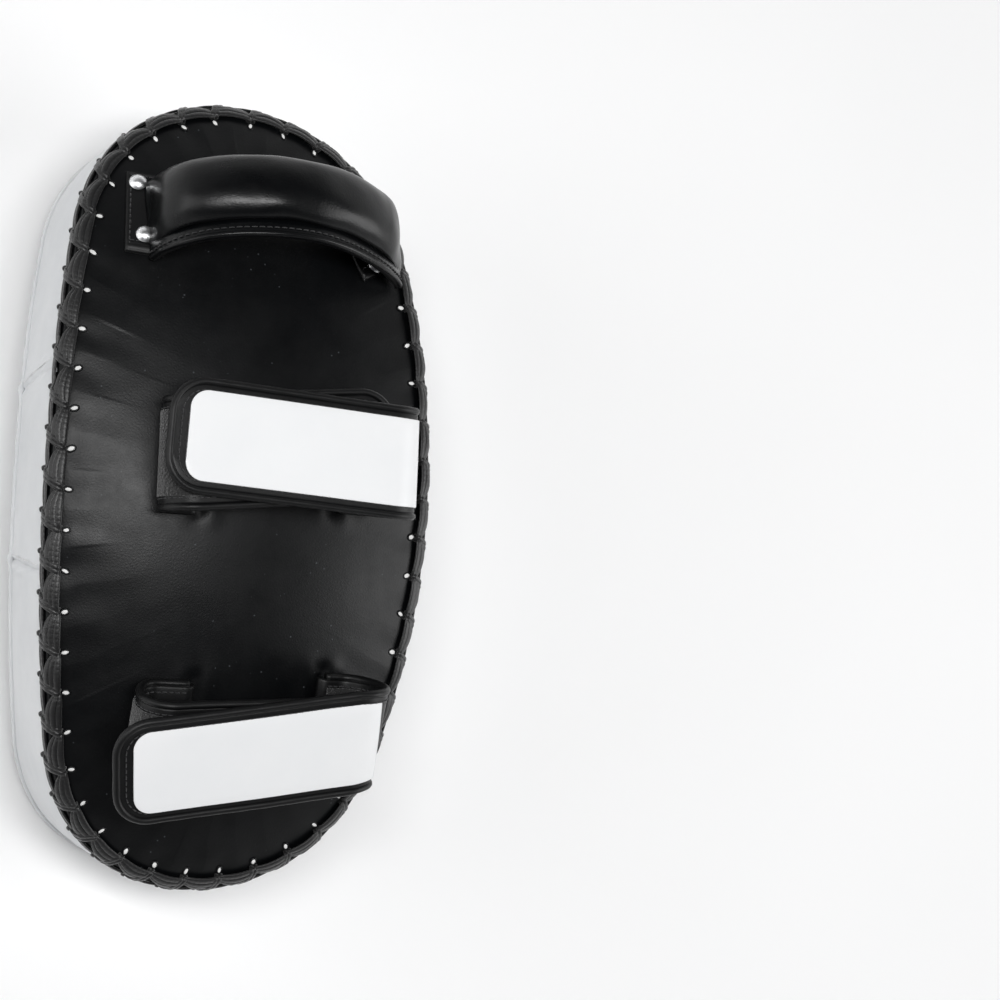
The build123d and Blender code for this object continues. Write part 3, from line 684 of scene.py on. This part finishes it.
# -------------------------------- straps
WIDTH = 50.6
SHEET = 3.0          # thickness of the strap leather
BINDING = 2.1
LEG = 2.1            # height above the back of the strap's feet, its under layer and its flap
UNDER = 28.5
FLAP = 33.7
FOOT_TURN = 3.5      # radius of the turn out of each slot
TIP_CORNER = 15.0
STITCH_INSET = 3.4
TAPE_HALF = 21.0     # half width of the fastening tapes and of the white patch
PATCH_HALF = 21.8
STRAPS = [
    dict(name="upper", middle=18.0, lean=0.0, left_slot=-28.0, right_slot=43.3, left_fold=-38.0,
         right_fold=59.4, left_offset=-2.9, right_offset=2.9, under_tip=62.0, under_skew=6.6,
         flap_tip=-56.4, flap_skew=-2.9, flap_shift=-3.7, patch_from=6.5),
    dict(name="lower", middle=-115.0, lean=4.0, left_slot=-21.4, right_slot=46.0, left_fold=-39.1,
         right_fold=55.1, left_offset=-3.7, right_offset=3.2, under_tip=50.0, under_skew=4.4,
         flap_tip=-65.3, flap_skew=10.3, flap_shift=5.3, patch_from=13.0),
]


class StrapMap:
    """Maps a strap layer's own flat coordinates (along, across, lift) to its place on the pad.

    Side -1 is the under layer, from the left slot over the left fold; 1 is the flap, from the right slot.
    """

    def __init__(self, strap, side):
        self.strap, self.side = strap, side
        name, layer = ("left", "under") if side < 0 else ("right", "flap")
        slot, fold, self.offset = (strap[name + end] for end in ("_slot", "_fold", "_offset"))
        tip, self.skew = strap[layer + "_tip"], math.radians(strap[layer + "_skew"])
        top = UNDER if side < 0 else FLAP
        radius = (top - LEG) / 2
        path = [(slot, -6.0 + i) for i in range(5)]
        for v in np.linspace(0, math.pi / 2, 8):
            out = side * FOOT_TURN * (1 - math.cos(v))
            path.append((slot + out, LEG - FOOT_TURN + FOOT_TURN * math.sin(v)))
        path += [(x, LEG) for x in np.linspace(slot + side * FOOT_TURN, fold, 8)[1:]]
        leg_end = len(path) - 1
        for v in np.linspace(-math.pi / 2, math.pi / 2, 40)[1:]:
            out = side * radius * math.cos(v) * (1 + 0.06 * math.sin(2 * v))
            path.append((fold + out, LEG + radius + radius * math.sin(v)))
        flat_from = len(path) - 1
        path += [(x, top) for x in np.linspace(fold, tip, 60)[1:]]
        self.path = np.array(path)
        self.a = np.concatenate([[0], np.cumsum(np.linalg.norm(np.diff(self.path, axis=0), axis=1))])
        self.leg_end, self.flat_from, self.end = self.a[leg_end], self.a[flat_from], self.a[-1]
        slope = back_height(0.0, strap["middle"] + 0.5) - back_height(0.0, strap["middle"] - 0.5)
        angle = math.atan(slope) + math.radians(strap["lean"])
        self.origin = np.array([0.0, strap["middle"], back_height(0.0, strap["middle"])])
        self.y_dir = np.array([0.0, math.cos(angle), math.sin(angle)])
        self.z_dir = np.array([0.0, -math.sin(angle), math.cos(angle)])
        self.fine = np.linspace(0, self.end, 600)
        drift = np.cumsum(np.sin(self.theta(self.fine)[:-1]) * np.diff(self.fine))
        shift = np.concatenate([[0], drift]) * -side
        gone = np.interp(self.flat_from, self.fine, shift) - (0.0 if side < 0 else strap["flap_shift"])
        self.shift = shift - gone * smooth((self.fine - self.leg_end) / (self.flat_from - self.leg_end))

    def theta(self, a):
        return self.skew * smooth((a - self.leg_end) / (self.flat_from - self.leg_end))

    def line(self, a):
        x = np.interp(a, self.a, self.path[:, 0]) - self.side * np.maximum(a - self.end, 0.0)
        return x, np.interp(a, self.a, self.path[:, 1])

    def flat(self, a, y, lift):
        turn = self.theta(a)
        aa = a + self.side * y * np.sin(turn)
        x, z = self.line(aa)
        x1, z1 = self.line(aa + 0.4)
        x0, z0 = self.line(aa - 0.4)
        tx, tz = x1 - x0, z1 - z0
        n = np.sqrt(tx * tx + tz * tz)
        tx, tz = tx / n, tz / n
        across = y * np.cos(turn) + np.interp(a, self.fine, self.shift) + self.offset
        wave = ripple(a / 26.0, y / 30.0, 31 + int(self.strap["middle"]) % 7)
        wave = 0.5 * wave * smooth((a - self.flat_from) / 20.0)
        return x + tz * self.side * lift, across, z - tx * self.side * lift + wave

    def __call__(self, a, y, lift):
        a, y, lift = np.broadcast_arrays(*(np.asarray(v, float) for v in (a, y, lift)))
        x, across, z = self.flat(a, y, lift)
        p = self.origin + across[..., None] * self.y_dir + z[..., None] * self.z_dir
        p[..., 0] += x
        hug = 1.0 - smooth((a - self.leg_end + 2.0) / (self.flat_from - self.leg_end - 2.0))
        base = self.origin + across[..., None] * self.y_dir
        p[..., 2] += hug * (back_height(p[..., 0], base[..., 1]) - base[..., 2])
        return p

    def normal(self, a, y):
        return unit(self(a, y, 1.0) - self(a, y, 0.0))


def edge_profile(half, r, flat=9, rounded=5):
    """(across, lift) round a flat section with round edges."""
    y = np.linspace(-(half - r), half - r, flat)
    a = np.linspace(math.pi / 2, -math.pi / 2, rounded + 2)[1:-1]
    top = [(v, r) for v in y]
    right = [(half - r + r * math.cos(v), r * math.sin(v)) for v in a]
    low = [(v, -r) for v in y[::-1]]
    left = [(-(half - r) - r * math.cos(v), -r * math.sin(v)) for v in a]
    return np.array(top + right + low + left)


def strap_sheet(b, m, a0, a1, half, corner, lift, thick, rows=110):
    """A layer of the strap from a0 to its tip at a1, with round tip corners."""
    a = np.linspace(a0, a1 - corner, rows)
    turn = np.linspace(0, math.pi / 2, 14)[1:]
    tips = [a1 - corner + corner * math.sin(v) for v in turn]
    halves = [half] * rows + [half - corner + corner * math.cos(v) for v in turn]
    a = np.concatenate([a, tips])
    rings = []
    for value, h in zip(a, halves):
        profile = edge_profile(h, thick / 2)
        rings.append(m(np.full(len(profile), value), profile[:, 0], profile[:, 1] + lift))
    n = len(profile)
    uv = [[(value, q) for q in edge_profile(h, thick / 2)[:, 0]] for value, h in zip(a, halves)]
    faces = grid_faces(len(a), n, loop_v=True, flip=m.side > 0).tolist() + end_caps(len(a), n)
    b.add(np.concatenate(rings), faces, np.array(uv))


def border(a0, a1, half, corner, inset=0.0, step=2.0):
    """Flat path round a strap: along one side, round the tip, back along the other."""
    h, c, tip = half - inset, max(corner - inset, 0.5), a1 - inset
    straight = np.arange(a0, tip - c, step)
    turn = np.linspace(0, math.pi / 2, 12)
    path = [(v, h) for v in straight]
    path += [(tip - c + c * math.sin(v), h - c + c * math.cos(v)) for v in turn]
    path += [(tip, v) for v in np.arange(h - c - step, -(h - c), -step)]
    path += [(tip - c + c * math.cos(v), -(h - c) - c * math.sin(v)) for v in turn]
    path += [(v, -h) for v in straight[::-1]]
    return np.array(path)


def strap_pieces(strap):
    name = strap["name"]
    pieces = {}
    for side, key, piece in ((-1, "under", "_strap"), (1, "flap", "_flap")):
        m = StrapMap(strap, side)
        sheet, binding, thread = Builder(), Builder(), Builder()
        tip, half = m.end - BINDING, WIDTH / 2
        strap_sheet(sheet, m, 0.0, tip, half, TIP_CORNER, 0.0, SHEET)
        a, y = border(9.0, tip + 0.9, half + 0.9, TIP_CORNER + 1.0).T
        roll = 0.12 * np.sin(np.arange(len(a)) * 0.9)
        tube(binding, m(a, y, 0.25), m.normal(a, y), 3.9 + roll, 4.4 + roll, sides=12)
        a, y = border(10.0, tip, half, TIP_CORNER, inset=STITCH_INSET).T
        for face in (1.0, -1.0):
            row = m(a, y, (SHEET / 2 + 0.1) * face)
            stitches(thread, row, m.normal(a, y) * face, pitch=3.2, length=2.4, width=0.62)
        pieces[key] = sheet.piece(name + piece + "_leather", STRAP_BLACK)
        pieces[key + "_binding"] = binding.piece(name + piece + "_rolled_edge", STRAP_BLACK)
        pieces[key + "_thread"] = thread.piece(name + piece + "_stitching", THREAD)
        if side < 0:
            tape = Builder()
            strap_sheet(tape, m, m.leg_end - 6.0, m.end - 7.0, TAPE_HALF, 10.0, SHEET / 2 + 0.55, 1.0)
            pieces["loop"] = tape.piece(name + "_loop_pile", LOOP)
    patch, hook, inner = Builder(), Builder(), Builder()
    patch_start = (m.leg_end + m.flat_from) / 2 + strap["patch_from"]
    strap_sheet(patch, m, patch_start, m.end - 9.0, PATCH_HALF, 9.0, SHEET / 2 + 0.45, 0.9, rows=90)
    pieces["patch"] = patch.piece(name + "_flap_patch_leather", PATCH_WHITE)
    strap_sheet(hook, m, m.flat_from + 36.0, m.end - 7.0, TAPE_HALF, 10.0, -SHEET / 2 - 0.55, 1.0)
    pieces["hook"] = hook.piece(name + "_hook_bristle", HOOK)
    strap_sheet(inner, m, 10.0, m.leg_end + 20.0, TAPE_HALF, 3.0, -SHEET / 2 - 0.4, 0.8, rows=40)
    pieces["inner"] = inner.piece(name + "_leg_loop_pile", LOOP)
    return m, pieces


# -------------------------------- handle
TAB_SHEET = 2.4
TABS = [(-54.2, 135.0, -4.8, 19.0, 42.0), (62.0, 133.0, 24.0, 19.0, 36.0)]    # x, y, turn, width, length
HANDLE_Y = 135.4
GRIP_RINGS = 150
GRIP_CORNERS = 64
GRIP_SHIFT = 1.5     # the grip's middle below HANDLE_Y
SEWN_EDGE = 6.6
EDGE_SHAPE = [(0.5, 1.7), (-0.35, 1.6), (-0.7, 1.5), (-0.85, 1.9), (-1.0, 2.3), (-1.12, 1.7), (-1.17, 0.0),
              (-1.12, -1.7), (-1.0, -2.3), (-0.85, -1.9), (-0.7, -1.5), (-0.35, -1.6), (0.5, -1.7)]
HANDLE_O = np.array([7.0, HANDLE_Y, float(back_height(0.0, HANDLE_Y))])
HANDLE_TILT = math.atan(float(back_height(0.0, HANDLE_Y + 0.5) - back_height(0.0, HANDLE_Y - 0.5)))
H_Y = np.array([0.0, math.cos(HANDLE_TILT), math.sin(HANDLE_TILT)])
H_Z = np.array([0.0, -math.sin(HANDLE_TILT), math.cos(HANDLE_TILT)])
ARCH = np.array([(-52.5, 2.4), (-51.5, 5.5), (-49, 12.5), (-43, 21), (-34, 28.5), (-21, 34.5), (-6, 38),
                 (8, 39), (22, 37.5), (36, 33), (49, 26.5), (61, 19), (71, 12.5), (79, 7.0), (82, 3.0)])


def spline(points, count):
    """A smooth line through the points, evenly spaced."""
    p = np.vstack([2 * points[0] - points[1], points, 2 * points[-1] - points[-2]])
    out = []
    for i in range(1, len(p) - 2):
        t = np.linspace(0, 1, 24, endpoint=False)[:, None]
        square = 2 * p[i - 1] - 5 * p[i] + 4 * p[i + 1] - p[i + 2]
        cube = 3 * p[i] - p[i - 1] - 3 * p[i + 1] + p[i + 2]
        out.append(0.5 * (2 * p[i] + (p[i + 1] - p[i - 1]) * t + square * t ** 2 + cube * t ** 3))
    line = np.vstack(out + [p[-2][None]])
    along = np.concatenate([[0], np.cumsum(np.linalg.norm(np.diff(line, axis=0), axis=1))])
    s = np.linspace(0, along[-1], count)
    return np.stack([np.interp(s, along, line[:, c]) for c in range(line.shape[1])], -1)


def arch_frame():
    line = spline(ARCH, GRIP_RINGS)
    tangent = unit(np.gradient(line, axis=0))
    normal = np.stack([-tangent[:, 1], tangent[:, 0]], -1)
    return line, normal


def arch_point(line, normal, q, r):
    """From the arch line: q across the grip, r out along the arch's normal."""
    x = line[:, None, 0] + normal[:, None, 0] * r
    h = line[:, None, 1] + normal[:, None, 1] * r
    base = back_height(x, HANDLE_O[1] + q * H_Y[1]) - (HANDLE_O[2] + q * H_Y[2])
    hug = 1.0 - smooth((h - 4.0) / 18.0)
    p = HANDLE_O + q[..., None] * H_Y + h[..., None] * H_Z
    p[..., 0] = x
    p[..., 2] += base * (0.35 + 0.65 * hug)
    return p


def grip():
    """The stuffed leather grip, its sewn edge and the two rows of stitches along that edge."""
    line, normal = arch_frame()
    u = np.linspace(-1, 1, GRIP_RINGS)
    end = smooth((np.abs(u) - 0.62) / 0.38)
    depth = 24.0 * (1 - end) + 6.0 * end
    length = 36.0 + 1.5 * end
    a = np.linspace(0, 2 * math.pi, GRIP_CORNERS, endpoint=False)
    c, s = np.cos(a), np.sin(a)
    cq = np.sign(c) * np.abs(c) ** 0.86
    cr = np.sign(s) * np.abs(s) ** 0.9
    q = cq[None] * length[:, None] / 2 - GRIP_SHIFT
    r = cr[None] * depth[:, None] / 2
    fold = ripple(u[:, None] * 9.0 + 0 * a[None], a[None] * 1.0 + 0 * u[:, None], 41)
    r = r + fold * (0.35 + 0.9 * end[:, None]) * np.abs(s)[None]
    q = q + 0.6 * ripple(u[:, None] * 6.0, a[None] * 1.5, 43)
    q = q + 1.6 * np.exp(-((a - math.pi) / 0.16) ** 2)[None]
    b = Builder()
    faces = grid_faces(GRIP_RINGS, GRIP_CORNERS, loop_v=True).tolist() + end_caps(GRIP_RINGS, GRIP_CORNERS)
    b.add(arch_point(line, normal, q, r), faces)
    body = b.piece("handle_grip_leather", GRIP_BLACK)

    def along_edge(share, height):
        q = (-length / 2 - GRIP_SHIFT + SEWN_EDGE * (1 - 0.15 * end) * share)[:, None]
        return arch_point(line, normal, q, np.full((GRIP_RINGS, 1), height))[:, 0]

    edge, n = Builder(), len(EDGE_SHAPE)
    grid = np.stack([along_edge(share, height) for share, height in EDGE_SHAPE], 1)
    edge.add(grid, grid_faces(GRIP_RINGS, n, loop_v=True).tolist() + end_caps(GRIP_RINGS, n))
    sewn = edge.piece("handle_sewn_edge", GRIP_BLACK)

    thread = Builder()
    for face in (1.0, -1.0):
        row = along_edge(-0.5, 1.65 * face)
        stitches(thread, row, unit(along_edge(-0.5, 3.0 * face) - row), pitch=3.7, length=2.7, width=0.75)
    return body, sewn, thread.piece("handle_stitching", THREAD)


def tabs():
    """The leather tabs under the grip's ends, each folded under at its lower end and stitched."""
    b, thread = Builder(), Builder()
    for x0, y0, turn, width, length in TABS:
        c, s = math.cos(math.radians(turn)), math.sin(math.radians(turn))

        def place(u, v, h):
            x = x0 + u * c - v * s
            y = y0 + u * s + v * c
            return np.stack([x, y, back_height(x, y)], -1) + back_normal(x, y) * np.asarray(h)[..., None]

        rings = []
        for value in np.linspace(-length / 2, length / 2, 40):
            near = np.exp(-((value + length / 2 - 3.0) / 1.8) ** 2)
            tip = min(1.0, (length / 2 - abs(value)) / 1.2 + 0.35)
            thick = TAB_SHEET / 2 * (1 + 0.45 * near) * tip
            profile = edge_profile(width / 2 - 0.4 * (1 - tip), thick, flat=7)
            height = profile[:, 1] + TAB_SHEET / 2 + 0.35 * near
            rings.append(place(profile[:, 0], np.full(len(profile), value), height))
        n = len(profile)
        faces = grid_faces(len(rings), n, loop_v=True, flip=True).tolist() + end_caps(len(rings), n)
        b.add(np.concatenate(rings), faces)
        u_side = math.copysign(width / 2 - 2.2, x0)
        across = np.linspace(-width / 2 + 2, width / 2 - 2, 12)
        top = length / 2 - 2.0
        rows = [(np.full(30, u_side), np.linspace(2.5 - length / 2, top, 30)),
                (across, np.full(12, 5.8 - length / 2)), (across, np.full(12, top))]
        for u, v in rows:
            p = place(u, v, np.full(len(u), TAB_SHEET + 0.1))
            stitches(thread, p, back_normal(p[:, 0], p[:, 1]), pitch=3.0, length=2.2, width=0.7, sink=-0.05)
    return b.piece("handle_tab_leather", STRAP_BLACK), thread.piece("handle_tab_stitching", THREAD)


# -------------------------------- the pieces
back = back_panel()
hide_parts("back_panel")
white = wall()
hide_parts("wall_lower", "wall_middle", "wall_upper")
strike = strike_face()
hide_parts("strike_face")
cord = piping()
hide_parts("front_piping")
wall_thread = wall_stitching()
laces = lace()
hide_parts("edge_lace")
rims, lining = lace_holes()
grip_body, grip_edge, grip_thread = grip()
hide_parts("handle_cover", "handle_core")
tab_leather, tab_thread = tabs()
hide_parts("handle_tab_left", "handle_tab_right")
for piece, slot in ((back, "black_leather"), (white, "white_leather"), (strike, "white_leather"),
                    (cord, "white_leather"), (wall_thread, "white_leather"), (laces, "lace_braid"),
                    (rims, "black_leather"), (lining, "lining_cloth"), (grip_body, "black_leather"),
                    (grip_edge, "black_leather"), (grip_thread, "lace_braid"), (tab_leather, "black_leather"),
                    (tab_thread, "lace_braid")):
    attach(piece, "pad")

for strap in STRAPS:
    name = strap["name"]
    m, p = strap_pieces(strap)
    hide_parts(name + "_strap")
    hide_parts(name + "_strap_binding")
    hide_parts(name + "_loop_tape")
    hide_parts(name + "_flap", name + "_fold")
    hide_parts(name + "_flap_binding")
    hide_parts(name + "_flap_patch")
    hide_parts(name + "_hook_tape")
    for key in ("under", "under_binding", "under_thread", "loop"):
        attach(p[key], "pad")
    for key in ("flap", "flap_binding", "flap_thread", "patch", "hook", "inner"):
        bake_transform(p[key])

# -------------------------------- materials of the CAD nodes that stay
KEPT = {
    "back_cushion": FOAM, "back_lining": LINING, "backing_board": BOARD, "foam_back": FOAM,
    "foam_middle": FOAM, "foam_strike": FOAM, "handle_rivets_left": NICKEL, "handle_rivets_right": NICKEL,
    "handle_washers_left": NICKEL, "handle_washers_right": NICKEL,
}
for node, material in KEPT.items():
    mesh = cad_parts[node].data
    mesh.materials.clear()
    mesh.materials.append(material)

# -------------------------------- floor, light and camera
FLOOR_HALF = 4.0
floor_mat, t, p = nodes_for("pale_floor")
haze = noise(t, 3.0, 2.0, 0.5, t.nodes.new("ShaderNodeTexCoord").outputs["Object"])
tone = ramp(t, haze.outputs["Fac"], (0.93, 0.93, 0.93), (0.95, 0.95, 0.95))
link(t, tone, "Color", p, "Base Color")
p.inputs["Roughness"].default_value = 0.9
mesh = bpy.data.meshes.new("floor")
corners = ((-1, -1), (1, -1), (1, 1), (-1, 1))
mesh.from_pydata([(x * FLOOR_HALF, y * FLOOR_HALF, CAD_BOX[0].z) for x, y in corners], [], [(0, 1, 2, 3)])
mesh.materials.append(floor_mat)
floor = bpy.data.objects.new("floor", mesh)
bpy.context.scene.collection.objects.link(floor)

world = bpy.data.worlds.new("studio")
world.use_nodes = True
sky = world.node_tree
aim = sky.nodes.new("ShaderNodeTexCoord")
parts = sky.nodes.new("ShaderNodeSeparateXYZ")
link(sky, aim, "Generated", parts, "Vector")
shade = ramp(sky, parts.outputs["Z"], (1, 1, 1), (0.05, 0.05, 0.055), 0.1, 0.6)
link(sky, shade, "Color", sky.nodes["Background"], "Color")
sky.nodes["Background"].inputs["Strength"].default_value = 0.8
bpy.context.scene.world = world
bpy.context.scene.view_settings.view_transform = "Standard"


SOFTBOXES = [      # place, what it points at, size, power
    ("overhead", (-0.45, 0.15, 2.1), (0.0, 0.0, 0.1), (0.32, 1.3), 30.0),
    ("left", (-1.9, 0.2, 1.0), (0.0, 0.0, 0.05), (1.2, 1.6), 12.0),
    ("right", (2.2, -0.3, 1.3), (0.2, 0.0, 0.0), (1.4, 1.6), 29.0),
]
for name, place, target, size, power in SOFTBOXES:
    light = bpy.data.lights.new(name, "AREA")
    light.shape = "RECTANGLE"
    light.size, light.size_y = size
    light.energy = power
    obj = bpy.data.objects.new(name, light)
    obj.location = place
    obj.rotation_euler = (Vector(target) - Vector(place)).to_track_quat("-Z", "Y").to_euler()
    bpy.context.scene.collection.objects.link(obj)

camera = bpy.data.objects.new("camera", bpy.data.cameras.new("camera"))
camera.data.lens = 98.43
camera.data.sensor_width = 36.0
camera.data.clip_start, camera.data.clip_end = 0.05, 20.0
camera.location = (-0.46157, -0.06135, 1.41289)
camera.rotation_euler = Euler((math.radians(1.3147), math.radians(-25.2915), math.radians(3.3662)), "XYZ")
bpy.context.scene.collection.objects.link(camera)
bpy.context.scene.camera = camera
